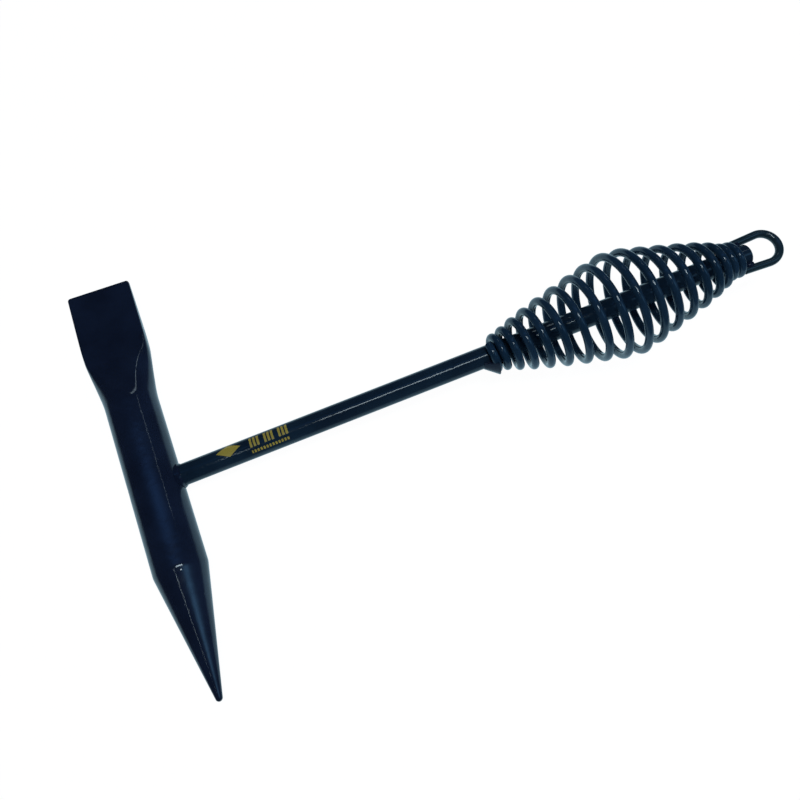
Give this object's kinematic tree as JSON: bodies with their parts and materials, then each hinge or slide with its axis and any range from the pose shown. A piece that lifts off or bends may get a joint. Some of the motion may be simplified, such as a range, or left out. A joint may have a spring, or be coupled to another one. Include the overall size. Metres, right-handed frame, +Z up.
{
  "type": "chipping hammer",
  "caption": "Chipping hammer: forged head with a chisel and a pick, round steel handle, barrel-shaped spring grip and a hanging loop, painted gloss black.",
  "frame": {"origin": "on the bench, under the middle of the hammer's outline as it lies on its side", "axes": "+X from the head along the handle towards the hanging loop, +Y towards the chisel end of the head, +Z up; the handle rises 3.3 degrees towards the loop because the spring is thicker than the head"},
  "size_m": [0.2986, 0.1826, 0.0466],
  "materials": {
    "head_enamel": "gloss black enamel over forged steel",
    "shaft_enamel": "gloss black enamel with a plain gold mark",
    "spring_enamel": "gloss black enamel over spring wire",
    "weld_enamel": "gloss black enamel over weld beads"
  },
  "bodies": {
    "root": {"hammer_head": "head_enamel", "shaft": "shaft_enamel", "head_weld": "weld_enamel", "eye_plug_weld": "weld_enamel", "grip_spring": "spring_enamel", "spring_front_weld": "weld_enamel", "spring_rear_weld": "weld_enamel", "hanging_loop": "spring_enamel", "loop_weld_upper": "weld_enamel", "loop_weld_lower": "weld_enamel"}
  },
  "joints": []
}
